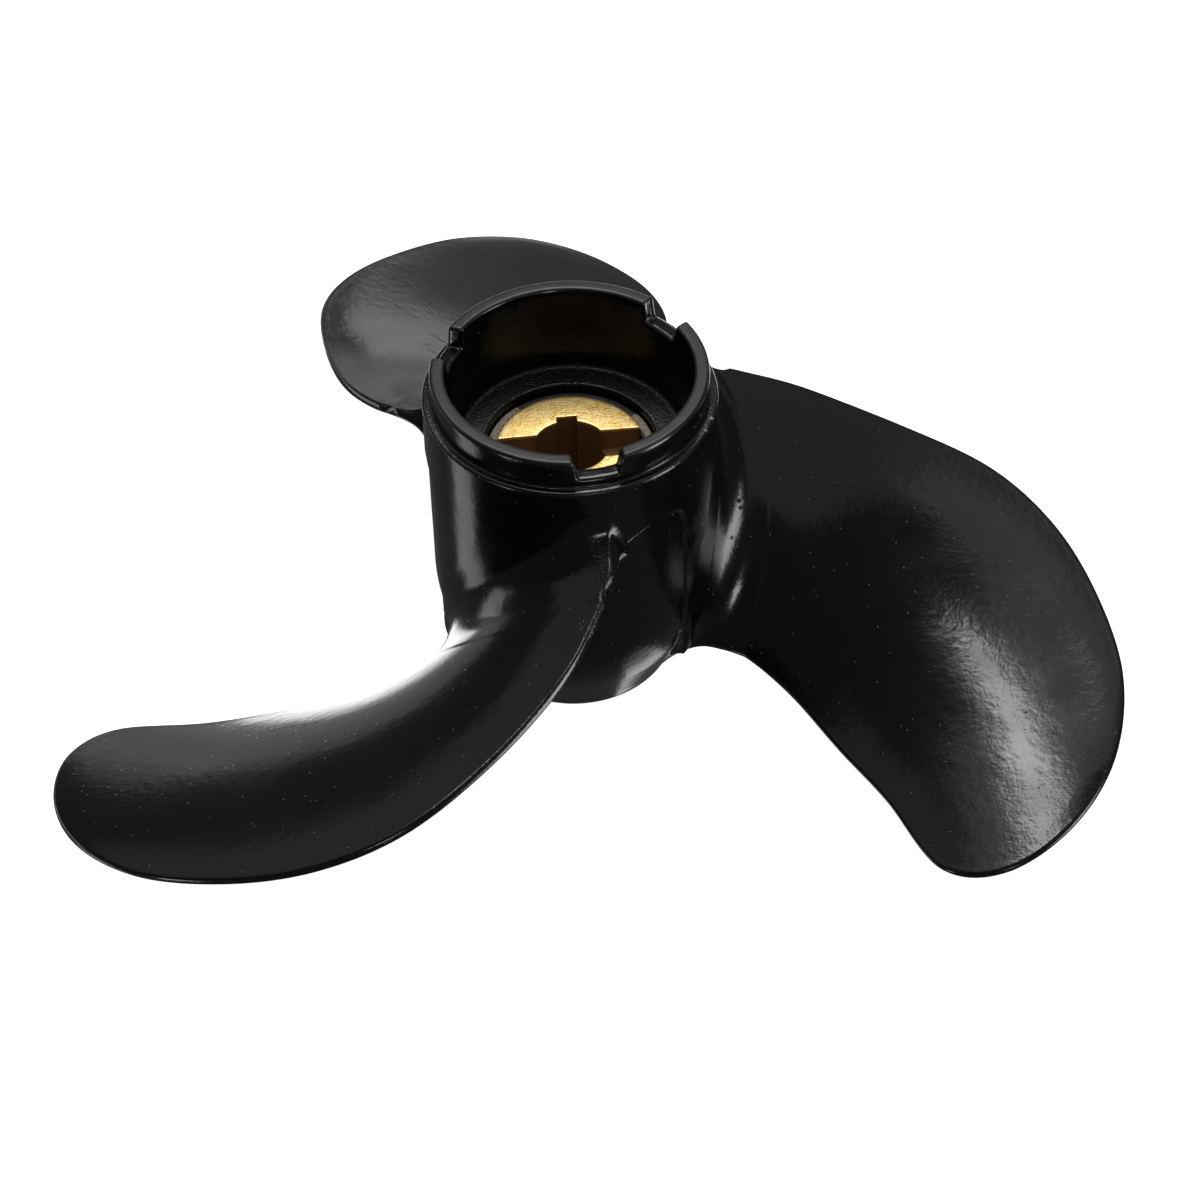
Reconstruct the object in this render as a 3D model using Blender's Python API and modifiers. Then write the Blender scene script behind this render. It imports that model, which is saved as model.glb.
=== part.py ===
"""Three-bladed propeller of a small outboard motor: one die casting with a bonded drive bush.

Units are millimetres in the named sizes and metres in the scene, +Z up along the shaft axis.
The drive cup points up and the hub's nose points down. The origin lies on the shaft axis at
the propeller's centre of mass. Heights below are measured down from the rim of the cup.
"""
import math

import bmesh
import bpy
import numpy as np

MM = 0.001
COLLECTION = "outboard_propeller"
RIM_HEIGHT = 35.4

# outside of the hub
RIM_RADIUS = 21.7
RIM_DEPTH = 4.9
COLLAR_RADIUS = 23.1
COLLAR_DEPTH = 12.0
HUB_RADIUS = 22.8
HUB_STRAIGHT = 39.0
HUB_LENGTH = 60.2
NOSE_BARREL = 29.0
NOSE_SLOPE = 25.0
NOSE_CORNER = 3.0
NOSE_FLAT_RADIUS = 14.0
EDGE_ROUND = 0.5
HUB_STEPS = 72
SHARP_ANGLE = 40.0

# cup, bush seat and shaft exit
CUP_MOUTH_RADIUS = 19.3
CUP_FLOOR_RADIUS = 18.2
CUP_DEPTH = 15.1
SEAT_RADIUS = 13.6
SEAT_CHAMFER = 0.4
SEAT_DEPTH = 52.0
EXIT_RADIUS = 6.2
CUT_OVER = 1.0

# rim notches
NOTCH_COUNT = 3
NOTCH_AZIMUTH = 41.0
NOTCH_TOP = 7.6
NOTCH_FLOOR = 6.2
NOTCH_DEPTH = 3.4

# drive bush and its rubber
FIT_GAP = 0.3
BRASS_RADIUS = 11.8
BRASS_DEPTH = 16.1
BORE_RADIUS = 5.9
RUBBER_DEPTH = 16.5
SLOT_AZIMUTH = 5.3
SLOT_WIDTH = 6.0
SLOT_DEPTH = 4.2
KEYWAY_WIDTH = 3.3
KEYWAY_REACH = 6.95

# blades: stations from root to tip in plan view, as the leading edge's x and y,
# the trailing edge's x and y, and the greatest thickness there
BLADE_COUNT = 3
BLADE_AZIMUTH = -2.9
STATIONS = [
    (10.5, 11.5, 14.5, -7.5, 7.5),
    (19.3, 19.5, 24.5, -11.0, 6.4),
    (27.0, 22.0, 29.5, -13.5, 5.6),
    (38.5, 22.5, 36.5, -20.0, 4.6),
    (54.0, 19.5, 44.0, -29.5, 3.9),
    (68.5, 14.0, 51.0, -38.5, 3.4),
    (78.5, 5.0, 59.0, -51.0, 3.0),
    (85.0, -7.0, 69.0, -53.0, 2.6),
    (88.5, -21.5, 79.5, -46.5, 2.2),
    (86.5, -35.5, 86.5, -35.5, 1.8),
]
ROOT_STATION = 1.6
ROOT_ROWS = 8
SPAN_ROWS = 18
TIP_CROWDING = 1.3
LAST_ROW = 0.998
CHORD_COLUMNS = 10

# blade surface: a helicoid whose pitch falls and which rises a little towards the tip
BLADE_DEPTH = 38.7
PITCH_ROOT = 182.0
PITCH_TIP = 165.0
SURFACE_ROOT_RADIUS = 21.7
TIP_RADIUS = 94.0
CUPPING = -0.6
RAKE = 1.3

# blade edges and root fillets
EDGE_THICKNESS = 1.5
EDGE_STEPS = 2
EDGE_SQUARENESS = 3.0
UPPER_SHARE = 0.8
UPPER_FILLET = 7.0
LOWER_FILLET = 3.5
EDGE_FILLET = 2.5

# land on the hub that carries each trailing edge
LAND_AZIMUTH = -32.5
LAND_WIDTH = 5.6
LAND_REACH = 22.9
LAND_TOP = 30.0
LAND_FLOOR = 52.5

PAINT = ("gloss_black_paint", (0.012, 0.012, 0.013, 1.0), 0.28, 0.0)
RUBBER = ("black_rubber", (0.025, 0.023, 0.021, 1.0), 0.75, 0.0)
BRASS = ("machined_brass", (0.62, 0.43, 0.16, 1.0), 0.42, 1.0)


def clear_scene():
    """Remove the objects that the scene starts with."""
    for item in list(bpy.data.objects):
        bpy.data.objects.remove(item, do_unlink=True)


def new_collection(name):
    """A collection of its own, linked to the scene."""
    group = bpy.data.collections.new(name)
    bpy.context.scene.collection.children.link(group)
    return group


def finish_material(spec):
    """A Principled material from a name, colour, roughness and metallic value."""
    name, colour, roughness, metallic = spec
    material = bpy.data.materials.new(name)
    material.use_nodes = True
    shader = material.node_tree.nodes["Principled BSDF"]
    shader.inputs["Base Color"].default_value = colour
    shader.inputs["Roughness"].default_value = roughness
    shader.inputs["Metallic"].default_value = metallic
    material.diffuse_color = colour
    return material


def add_object(name, mesh, group, material=None):
    """Wrap a mesh in an object and put it in a collection."""
    item = bpy.data.objects.new(name, mesh)
    group.objects.link(item)
    if material:
        mesh.materials.append(material)
    return item


def as_cutter(item):
    """Mark an object as a cutter or guide that isn't part of the model."""
    item.hide_render = True
    item.display_type = "WIRE"
    return item


def arc(centre_x, centre_z, radius, start, end, steps):
    """Points along an arc of a profile, angles in degrees from +X towards +Z."""
    angles = np.radians(np.linspace(start, end, steps + 1))
    return [(centre_x + radius * math.cos(a), centre_z + radius * math.sin(a)) for a in angles]


def turned(name, profile, group, material=None, closed=True):
    """A profile of (radius, height) in millimetres, turned round the shaft axis.

    A closed profile is a ring's section. An open one starts and ends on the axis.
    """
    outline = bpy.data.meshes.new(name + "_profile")
    points = [(x * MM, 0.0, (z + RIM_HEIGHT) * MM) for x, z in profile]
    edges = [(i, i + 1) for i in range(len(points) - 1)]
    if closed:
        edges.append((len(points) - 1, 0))
    outline.from_pydata(points, edges, [])
    guide = add_object(name + "_profile", outline, group)
    screw = guide.modifiers.new("turn", "SCREW")
    screw.axis = "Z"
    screw.steps = HUB_STEPS
    screw.render_steps = HUB_STEPS
    screw.use_merge_vertices = True
    screw.merge_threshold = 0.00001
    mesh = bpy.data.meshes.new_from_object(guide.evaluated_get(bpy.context.evaluated_depsgraph_get()))
    bpy.data.objects.remove(guide, do_unlink=True)
    mesh.shade_smooth()
    mesh.set_sharp_from_angle(angle=math.radians(SHARP_ANGLE))
    return add_object(name, mesh, group, material)


def hub_outside():
    """Profile of the hub below its ledge: a collar, a straight stretch and a barrel-shaped nose."""
    round_ = EDGE_ROUND
    outside = arc(COLLAR_RADIUS - round_, -RIM_DEPTH - round_, round_, 90, 0, 2)
    outside += [(HUB_RADIUS, -COLLAR_DEPTH)]
    outside += arc(HUB_RADIUS - NOSE_BARREL, -HUB_STRAIGHT, NOSE_BARREL, 0, -NOSE_SLOPE, 4)
    outside += arc(NOSE_FLAT_RADIUS, NOSE_CORNER - HUB_LENGTH, NOSE_CORNER, -NOSE_SLOPE, -90, 3)
    return outside


def hub_profile():
    """Half section of the solid hub from the axis at its top to the axis at its nose."""
    round_ = EDGE_ROUND
    rim = arc(RIM_RADIUS - round_, -round_, round_, 90, 0, 2)
    ledge = arc(RIM_RADIUS + round_, -RIM_DEPTH + round_, round_, 180, 270, 2)
    return [(0.0, 0.0)] + rim + ledge + hub_outside() + [(0.0, -HUB_LENGTH)]


def core_profile():
    """Half section of what is hollow in the hub: the cup, the bush's seat and the shaft exit."""
    round_ = EDGE_ROUND
    mouth = arc(CUP_MOUTH_RADIUS + round_, -round_, round_, 90, 180, 2)
    floor = arc(CUP_FLOOR_RADIUS - round_, round_ - CUP_DEPTH, round_, 0, -90, 2)
    seat = [(SEAT_RADIUS + SEAT_CHAMFER, -CUP_DEPTH), (SEAT_RADIUS, -CUP_DEPTH - SEAT_CHAMFER)]
    exit_ = [(SEAT_RADIUS, -SEAT_DEPTH), (EXIT_RADIUS, -SEAT_DEPTH)]
    low = -HUB_LENGTH - CUT_OVER
    top = [(0.0, CUT_OVER), (CUP_MOUTH_RADIUS + round_, CUT_OVER)]
    return top + mouth + floor + seat + exit_ + [(EXIT_RADIUS, low), (0.0, low)]


def smooth_curve(points, places):
    """Read a Catmull-Rom curve through the points at the given places, counted in points."""
    padded = np.vstack([2 * points[0] - points[1], points, 2 * points[-1] - points[-2]])
    cell = np.clip(np.floor(places).astype(int), 0, len(points) - 2)
    t = (places - cell)[:, None]
    p0, p1, p2, p3 = (padded[cell + k] for k in range(4))
    return 0.5 * (
        2 * p1 + (p2 - p0) * t + (2 * p0 - 5 * p1 + 4 * p2 - p3) * t**2
        + (3 * p1 - p0 - 3 * p2 + p3) * t**3
    )


def blade_surface(radius, turn):
    """Points and unit normals of the blade's middle surface at a radius and an angle."""
    reach = (radius - SURFACE_ROOT_RADIUS) / (TIP_RADIUS - SURFACE_ROOT_RADIUS)
    pitch = PITCH_ROOT + (PITCH_TIP - PITCH_ROOT) * reach**2
    height = -BLADE_DEPTH + pitch / math.tau * turn + CUPPING * turn**2 + RAKE * reach
    x, y = radius * np.cos(turn), radius * np.sin(turn)
    rise = pitch / math.tau + 2 * CUPPING * turn
    normal = np.stack([rise * y / radius**2, -rise * x / radius**2, np.ones_like(x)], axis=-1)
    points = np.stack([x, y, height], axis=-1)
    return points, normal / np.linalg.norm(normal, axis=-1, keepdims=True)


def flat_sections(chord, thickest):
    """Outlines of the blade's sections laid flat: along the chord and across it.

    Each is EDGE_THICKNESS thick at its rounded ends and swells between them as a parabola,
    mostly on its upper side. It runs round from the leading end over the top.
    """
    end = EDGE_THICKNESS / 2 * np.ones_like(chord)
    end = np.minimum(end, chord / 3)[:, None]
    chord = chord[:, None]
    across = np.linspace(0, 1, CHORD_COLUMNS + 1)
    across = (across + (1 - np.cos(math.pi * across)) / 2) / 2
    quarter = np.linspace(0, math.pi / 2, EDGE_STEPS + 1)[:-1]
    along_end = end * (1 - np.cos(quarter) ** (2 / EDGE_SQUARENESS))
    over_end = end * np.sin(quarter) ** (2 / EDGE_SQUARENESS)
    middle = end + (chord - 2 * end) * across
    swell = 4 * np.clip(thickest[:, None] - 2 * end, 0, None) * across * (1 - across)
    along = [along_end, middle, (chord - along_end)[:, ::-1]]
    along += [(chord - along_end)[:, 1:], middle[:, ::-1], along_end[:, :0:-1]]
    over = [over_end, end + swell * UPPER_SHARE, over_end[:, ::-1]]
    over += [-over_end[:, 1:], (-end - swell * (1 - UPPER_SHARE))[:, ::-1], -over_end[:, :0:-1]]
    return np.stack([np.concatenate(along, axis=1), np.concatenate(over, axis=1)], axis=-1)


def blade_sections():
    """Closed rings of points round the blade, one ring for each row from root to tip.

    Radius and angle change evenly along a section. Near the hub each ring grows outwards by
    the quarter circle of the root fillet, measured from the hub's own profile.
    """
    table = np.array(STATIONS)
    last = len(table) - 1
    outline = np.vstack([table[:, 0:2], table[-2::-1, 2:4]])
    span = 1 - (1 - np.linspace(0, 1, SPAN_ROWS)) ** TIP_CROWDING
    rows = ROOT_STATION + (last * LAST_ROW - ROOT_STATION) * span
    rows = np.concatenate([np.linspace(0, ROOT_STATION, ROOT_ROWS, endpoint=False), rows])
    lead = smooth_curve(outline, rows)
    trail = smooth_curve(outline, 2 * last - rows)
    thickest = smooth_curve(table[:, 4:5], rows)[:, 0]

    def polar(share):
        """Radius and angle at a share of each section, counted from its leading edge."""
        radii = [np.hypot(*edge.T)[:, None] for edge in (lead, trail)]
        turns = [np.arctan2(edge[:, 1], edge[:, 0])[:, None] for edge in (lead, trail)]
        return radii[0] + (radii[1] - radii[0]) * share, turns[0] + (turns[1] - turns[0]) * share

    spine = blade_surface(*polar(np.linspace(0, 1, 2 * CHORD_COLUMNS + 1)))[0]
    chord = np.linalg.norm(np.diff(spine, axis=1), axis=-1).sum(axis=1)
    flat = flat_sections(chord, thickest)
    along = np.roll(flat, -1, axis=1) - np.roll(flat, 1, axis=1)
    outward = np.stack([-along[..., 1], along[..., 0]], axis=-1)
    outward /= np.linalg.norm(outward, axis=-1, keepdims=True)

    share = flat[..., 0] / chord[:, None]
    radius, turn = polar(share)
    points, normal = blade_surface(radius, turn)
    height = (points + normal * flat[..., 1:2])[..., 2]
    hub = np.array(hub_outside())
    hub_radius = np.interp(-height, -hub[:, 1], hub[:, 0])
    face_fillet = np.where(outward[..., 1] > 0, UPPER_FILLET, LOWER_FILLET)
    fillet = EDGE_FILLET + (face_fillet - EDGE_FILLET) * np.abs(outward[..., 1])
    left = np.clip(fillet - (radius - hub_radius), 0, fillet)
    flat += outward * (fillet - np.sqrt(fillet**2 - left**2))[..., None]
    points, normal = blade_surface(*polar(flat[..., 0] / chord[:, None]))
    return points + normal * flat[..., 1:2]


def blade(name, azimuth, group):
    """One blade as a closed loft of its sections, turned to its place round the shaft."""
    rings = blade_sections()
    rows, count = rings.shape[:2]
    angle = math.radians(azimuth)
    cos, sin = math.cos(angle), math.sin(angle)
    turn = np.array([(cos, -sin, 0), (sin, cos, 0), (0, 0, 1)])
    points = rings.reshape(-1, 3) @ turn.T + (0, 0, RIM_HEIGHT)
    faces = [tuple(range(count)), tuple(reversed(range((rows - 1) * count, rows * count)))]
    for row in range(rows - 1):
        for k in range(count):
            a, b = row * count + k, row * count + (k + 1) % count
            faces.append((b, a, a + count, b + count))
    mesh = bpy.data.meshes.new(name)
    mesh.from_pydata((points * MM).tolist(), [], faces)
    shape = bmesh.new()
    shape.from_mesh(mesh)
    bmesh.ops.recalc_face_normals(shape, faces=shape.faces)
    shape.to_mesh(mesh)
    shape.free()
    mesh.shade_smooth()
    mesh.set_sharp_from_angle(angle=math.radians(SHARP_ANGLE))
    return as_cutter(add_object(name, mesh, group))


def prism(name, widths, reach, heights, azimuth, group):
    """A block from the axis outwards: its top and floor widths, reach and heights in millimetres."""
    top, floor = widths
    near, far = reach
    low, high = heights
    shape = bmesh.new()
    bmesh.ops.create_cube(shape, size=1.0)
    for corner in shape.verts:
        width = top if corner.co.z > 0 else floor
        corner.co.x = near if corner.co.x < 0 else far
        corner.co.y = math.copysign(width / 2, corner.co.y)
        corner.co.z = (high if corner.co.z > 0 else low) + RIM_HEIGHT
        corner.co *= MM
    mesh = bpy.data.meshes.new(name)
    shape.to_mesh(mesh)
    shape.free()
    item = as_cutter(add_object(name, mesh, group))
    item.rotation_euler.z = math.radians(azimuth)
    return item


def combine(item, other, operation):
    """Join or cut an object with another by an exact Boolean."""
    boolean = item.modifiers.new(other.name, "BOOLEAN")
    boolean.operation = operation
    boolean.solver = "EXACT"
    boolean.object = other


def build_casting(parts, cutters, material):
    """The hub joined to its three blades, then hollowed and notched at its rim."""
    casting = turned("propeller_casting", hub_profile(), parts, material, closed=False)
    for number in range(BLADE_COUNT):
        azimuth = BLADE_AZIMUTH + number * 360 / BLADE_COUNT
        combine(casting, blade(f"blade_{number + 1}", azimuth, cutters), "UNION")
        widths = (LAND_WIDTH, LAND_WIDTH)
        reach = (SEAT_RADIUS, LAND_REACH)
        heights = (-LAND_FLOOR, -LAND_TOP)
        land = prism(f"land_{number + 1}", widths, reach, heights, azimuth + LAND_AZIMUTH, cutters)
        combine(casting, land, "UNION")
    core = as_cutter(turned("core", core_profile(), cutters, closed=False))
    combine(casting, core, "DIFFERENCE")
    spread = (NOTCH_TOP - NOTCH_FLOOR) / NOTCH_DEPTH
    widths = (NOTCH_TOP + spread * CUT_OVER, NOTCH_FLOOR)
    reach = (SEAT_RADIUS, HUB_RADIUS + CUT_OVER)
    for number in range(NOTCH_COUNT):
        azimuth = NOTCH_AZIMUTH + number * 360 / NOTCH_COUNT
        notch = prism(f"notch_{number + 1}", widths, reach, (-NOTCH_DEPTH, CUT_OVER), azimuth, cutters)
        combine(casting, notch, "DIFFERENCE")
    return casting


def build_rubber(parts, material):
    """The rubber sleeve between the drive bush and its seat."""
    inner, outer = BRASS_RADIUS + FIT_GAP, SEAT_RADIUS - FIT_GAP
    low = FIT_GAP - SEAT_DEPTH
    profile = [(outer, -RUBBER_DEPTH), (outer, low), (inner, low), (inner, -RUBBER_DEPTH)]
    return turned("rubber_sleeve", profile, parts, material)


def build_bush(parts, cutters, material):
    """The drive bush with its bore, the drive pin's slot across its face and the keyway."""
    low, high = FIT_GAP - SEAT_DEPTH, -BRASS_DEPTH
    profile = [(BRASS_RADIUS, high), (BRASS_RADIUS, low), (BORE_RADIUS, low), (BORE_RADIUS, high)]
    bush = turned("drive_bush", profile, parts, material)
    reach = (-BRASS_RADIUS - CUT_OVER, BRASS_RADIUS + CUT_OVER)
    heights = (high - SLOT_DEPTH, high + CUT_OVER)
    slot = prism("pin_slot", (SLOT_WIDTH, SLOT_WIDTH), reach, heights, SLOT_AZIMUTH, cutters)
    combine(bush, slot, "DIFFERENCE")
    reach = (BORE_RADIUS - CUT_OVER, KEYWAY_REACH)
    heights = (low - CUT_OVER, high + CUT_OVER)
    keyway = prism("keyway", (KEYWAY_WIDTH, KEYWAY_WIDTH), reach, heights, SLOT_AZIMUTH + 90, cutters)
    combine(bush, keyway, "DIFFERENCE")
    return bush


def main():
    """Build the propeller in the open file."""
    clear_scene()
    parts = new_collection(COLLECTION)
    cutters = new_collection("cutters")
    build_casting(parts, cutters, finish_material(PAINT))
    build_rubber(parts, finish_material(RUBBER))
    build_bush(parts, cutters, finish_material(BRASS))


main()
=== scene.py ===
"""Looks of a small three-bladed outboard propeller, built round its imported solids.

The hub, the blades, the drive bush and its rubber are surfaces worked out with numpy.
Sizes in the functions are millimetres, and heights are measured down from the rim of the
drive cup, as in the part itself. The scene is in metres, +Z up along the shaft.
"""
import math

import bmesh
import bpy
import numpy as np
from mathutils import Matrix, Vector


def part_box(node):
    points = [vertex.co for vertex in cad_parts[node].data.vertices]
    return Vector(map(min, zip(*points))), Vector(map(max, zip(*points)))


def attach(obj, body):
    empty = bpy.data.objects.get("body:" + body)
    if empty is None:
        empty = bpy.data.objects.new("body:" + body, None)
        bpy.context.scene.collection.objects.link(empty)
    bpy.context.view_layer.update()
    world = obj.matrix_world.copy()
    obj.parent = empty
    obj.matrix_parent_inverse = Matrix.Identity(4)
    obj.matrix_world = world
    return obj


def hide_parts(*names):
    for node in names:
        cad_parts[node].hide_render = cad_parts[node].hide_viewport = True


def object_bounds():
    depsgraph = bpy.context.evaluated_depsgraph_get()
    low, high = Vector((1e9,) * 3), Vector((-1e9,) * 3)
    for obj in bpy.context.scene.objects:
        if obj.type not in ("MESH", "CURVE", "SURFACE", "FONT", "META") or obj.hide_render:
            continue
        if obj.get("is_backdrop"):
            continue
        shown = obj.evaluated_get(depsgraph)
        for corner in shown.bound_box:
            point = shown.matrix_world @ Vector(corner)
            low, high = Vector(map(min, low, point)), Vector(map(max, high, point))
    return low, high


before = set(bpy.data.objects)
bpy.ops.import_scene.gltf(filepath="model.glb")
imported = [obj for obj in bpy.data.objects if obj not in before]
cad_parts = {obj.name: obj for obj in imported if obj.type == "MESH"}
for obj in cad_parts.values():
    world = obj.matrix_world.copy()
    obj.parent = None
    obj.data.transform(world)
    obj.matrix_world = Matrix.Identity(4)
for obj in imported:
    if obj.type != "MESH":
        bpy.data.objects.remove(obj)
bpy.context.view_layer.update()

bl_info = {
    "name": "Outboard propeller",
    "version": (1, 0, 0),
    "blender": (4, 5, 0),
    "location": "View3D > Sidebar > Propeller",
    "description": "Models and finishes a three-bladed outboard propeller round its packed solids",
    "category": "Add Mesh",
}

MM = 0.001
RIM_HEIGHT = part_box("propeller_casting")[1].z / MM
ROTATION = 120.0
SHARP_ANGLE = 35.0
QUARTERS = (0.25, 0.5, 0.75)

# outside of the hub
RIM_RADIUS = 21.7
RIM_DEPTH = 4.9
COLLAR_RADIUS = 23.1
HUB_RADIUS = 22.7
HUB_STRAIGHT = 39.0
HUB_LENGTH = 60.2
NOSE_BARREL = 29.0
NOSE_SLOPE = 25.0
NOSE_CORNER = 3.0
NOSE_FLAT_RADIUS = 14.0
RIM_ROUND = 0.55
LEDGE_ROUND = 0.45
LEDGE_FILLET = 0.35

# cup, bush seat and shaft exit
CUP_MOUTH_RADIUS = 19.3
CUP_FLOOR_RADIUS = 18.2
CUP_DEPTH = 15.1
CUP_FILLET = 0.8
CUP_WALL_TOP = 5.6
SEAT_RADIUS = 13.6
SEAT_ROUND = 0.35
SEAT_LIP = 0.05
SEAT_DEPTH = 52.0
EXIT_RADIUS = 6.2

# notches in the rim
NOTCH_AZIMUTH = 41.0
NOTCH_TOP = 7.6
NOTCH_FLOOR = 6.4
NOTCH_DEPTH = 3.4
NOTCH_FILLET = 0.4

# how finely the hub is drawn: points along a notch's floor, arcs, wall and the rim beyond it, and
# bands of rows down the side
NOTCH_SAMPLES = (9, 5, 12, 54)
HUB_BANDS = [(-5.9, -13.4, 8), (-13.4, -20, 24), (-20, -34, 16), (-34, -48.8, 30),
             (-48.8, -52.8, 22), (-52.8, -58.2, 6)]

# line on the hub where the proud upper side of the casting ends, azimuth and height
PARTING_LINE = [
    (-112.0, -35.0), (-96.0, -26.0), (-84.0, -19.5), (-76.0, -17.4), (-70.7, -17.4),
    (-64.4, -15.9), (-57.7, -14.9), (-52.4, -14.4), (-47.7, -14.8), (-44.0, -15.6),
    (-41.5, -17.2), (-39.9, -19.6), (-39.0, -24.0), (-38.9, -31.0), (-38.6, -38.0),
    (-37.9, -45.0), (-37.6, -49.6), (-36.4, -51.2), (-34.5, -51.7), (-31.0, -51.4),
    (-28.0, -50.4), (-18.0, -46.0), (-6.0, -40.5), (8.0, -35.0), (24.0, -26.0),
]
PARTING_STEP_WIDTH = 0.4
LAND_AZIMUTH = -38.8
LAND_STRAIGHT = 46.5
LAND_BARREL = 11.0

# slow waves of the cast skin: their height, their sizes, their fade at a blade's edges, and the
# circle that each third of the hub is read on
SKIN_WAVE = 0.03
HUB_WAVE_SIZE = 13.0
BLADE_WAVE_SIZE = 15.0
WAVE_FADE = 6.0
HUB_WAVE_CIRCLE = 9.0

# blades: leading edge's x and y, trailing edge's x and y, and thickness, from root to tip
BLADE_AZIMUTH = -2.9
STATIONS = [
    (9.5, 16.0, 14.5, -7.5, 7.5),
    (18.6, 19.8, 24.5, -11.0, 6.4),
    (27.0, 22.0, 29.5, -13.5, 5.6),
    (38.5, 22.5, 36.5, -20.0, 4.6),
    (54.0, 19.5, 44.0, -29.5, 3.9),
    (68.5, 14.0, 51.0, -38.5, 3.4),
    (78.5, 5.0, 59.0, -51.0, 3.0),
    (85.0, -7.0, 69.0, -53.0, 2.6),
    (88.5, -21.5, 79.5, -46.5, 2.2),
    (86.5, -35.5, 86.5, -35.5, 1.8),
]
BLADE_DEPTH = 38.7
PITCH_ROOT = 182.0
PITCH_TIP = 165.0
SURFACE_ROOT_RADIUS = 21.7
TIP_RADIUS = 94.0
CUPPING = -0.6
RAKE = 1.3
EDGE_THICKNESS = 1.5
EDGE_SQUARENESS = 2.6
EDGE_FADE = 1.5
UPPER_SHARE = 0.8

# droop of a leading edge's root: its height, the radius that it fades out at and over, and the
# angle that it starts at and grows over, with the growth's limit
ROOT_DROOP = 3.6
DROOP_RADIUS = 31.0
DROOP_FADE = 9.0
DROOP_ANGLE = 32.0
DROOP_SPREAD = 20.0
DROOP_FULL = 1.2

# root fillets, the distance over which the trailing edge's grows to the sides', the reaches and
# depths of the skirt under the hub's skin, and the levels that the parting step fades between
UPPER_FILLET = 7.0
LOWER_FILLET = 3.5
LEAD_FILLET = 1.5
TRAIL_FILLET = 5.0
FILLET_GROWTH = 5.0
SKIRT = [(0.35, 0.02), (0.8, 0.12), (1.3, 0.4), (1.5, 1.2)]
STEP_CLIMB = (0.05, 1.2)

# how finely a blade is drawn, and the stations where its fillet and its rounded tip start
FREE_STATION = 1.8
TIP_STATIONS = 0.45
FILLET_ROWS = 18
ARC_ROWS = 8
FREE_ROWS = 120
TIP_ROWS = 14
CHORD_COLUMNS = 100
EDGE_COLUMNS = 20
CROWDING = 0.3
OUTLINE_POINTS = 420
SPINE_POINTS = 160
ROOT_POINTS = 200

# drive bush and its rubber
BRASS_RADIUS = 11.8
BRASS_DEPTH = 16.1
BORE_RADIUS = 5.9
BUSH_END = 51.7
SLOT_AZIMUTH = 5.3
SLOT_WIDTH = 6.0
SLOT_DEPTH = 4.2
KEYWAY_WIDTH = 3.3
KEYWAY_REACH = 6.95
BUSH_EDGE = 0.12
SLOT_FILLET = 0.35
SLOT_SAMPLES = (8, 4, 9, 40)
BUSH_EVEN_DEPTH = 24.0
RUBBER_INNER = 12.0
RUBBER_OUTER = 13.35
RUBBER_DEPTH = 16.5
RUBBER_BEAD = 0.35
RUBBER_COLUMNS = 240

# marks that show, in mm from the middle of the rim
PINHOLES = [(27.1, 0.3, -29.1), (27.4, -0.4, -30.0), (25.9, -4.2, -33.2), (11.4, -19.0, -44.9)]
GRITTY = [(3.7, -25.5, -14.7), (5.0, -28.6, -16.5), (3.6, -32.5, -18.0), (1.6, -36.0, -19.7)]
FETTLED = [(19.7, -12.0, -22.0), (20.3, -11.1, -26.0), (18.9, -13.3, -29.0), (10.0, -19.8, -44.5)]
CHIPS = [(21.7, -6.6, -4.95), (20.6, -9.4, -5.1), (-17.6, -14.2, -5.2)]
WRINKLED = [(-25.3, 47.1, -34.6), (-22.9, 51.3, -36.7)]
SCUFFED = [(-10.0, 8.4, -16.5), (-11.6, 6.2, -16.5), (-12.7, 3.4, -16.5), (12.5, 2.2, -16.5),
           (12.1, 3.9, -16.5), (11.3, 5.8, -16.5)]
SCRATCH_ACROSS = (-0.28, -0.44, 0.85)
SCRATCH_ALONG = (0.46, 0.72, 0.52)

# studio: lamps with their azimuth from +Y towards +X and elevation in degrees, width and length
# in metres, power in watts, and the direction of their length where they don't hang upright
CAMERA_TARGET = (4.37, 0.0, -51.30)
LAMP_DISTANCE = 2.0
FLOOR_REACH = 6.0
LAMPS = [
    ("overhead_strip", (-63, 83), (0.14, 0.56), 3.3, (-0.6, 0.8, 0)),
    ("upper_scrim", (-4, 68), (1.55, 1.6), 5.0),
    ("back_softbox", (0, 63), (0.8, 1.0), 13.0),
    ("left_scrim", (-60, 47), (2.4, 1.4), 2.6),
    ("right_wall", (92, 55), (2.6, 1.2), 2.5),
    ("right_scrim", (24, 22), (1.5, 0.9), 1.4),
    ("back_card", (12, 7), (0.55, 0.45), 0.9),
    ("centre_card", (-10, 6), (0.8, 0.4), 0.4),
    ("horizon_card", (-14, -6), (3.0, 0.6), 2.2),
    ("white_sweep", (2, -30), (2.4, 0.8), 17.0),
    ("left_horizon", (-66, -7), (1.2, 0.45), 2.4),
    ("left_ground", (-87, -41), (0.6, 0.9), 2.1),
    ("left_kicker", (-132, -25), (0.3, 0.3), 2.6),
    ("front_kicker", (165, 12), (0.4, 0.4), 4.0),
    ("right_softbox", (114, -4), (0.6, 1.9), 24.0),
    ("lower_right_card", (58, -35), (0.5, 0.5), 1.2),
    ("low_card", (66, -68), (0.8, 0.4), 1.5),
]


def linear(code):
    """Turn an sRGB hex colour such as "C89A4B" to linear red, green and blue."""
    values = [int(code[i:i + 2], 16) / 255 for i in (0, 2, 4)]
    return tuple(v / 12.92 if v <= 0.04045 else ((v + 0.055) / 1.055) ** 2.4 for v in values)


def length_setting(name, description, size):
    """Setting of a length whose default is given in mm."""
    return bpy.props.FloatProperty(
        name=name, description=description, default=size * MM, unit="LENGTH")


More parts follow.
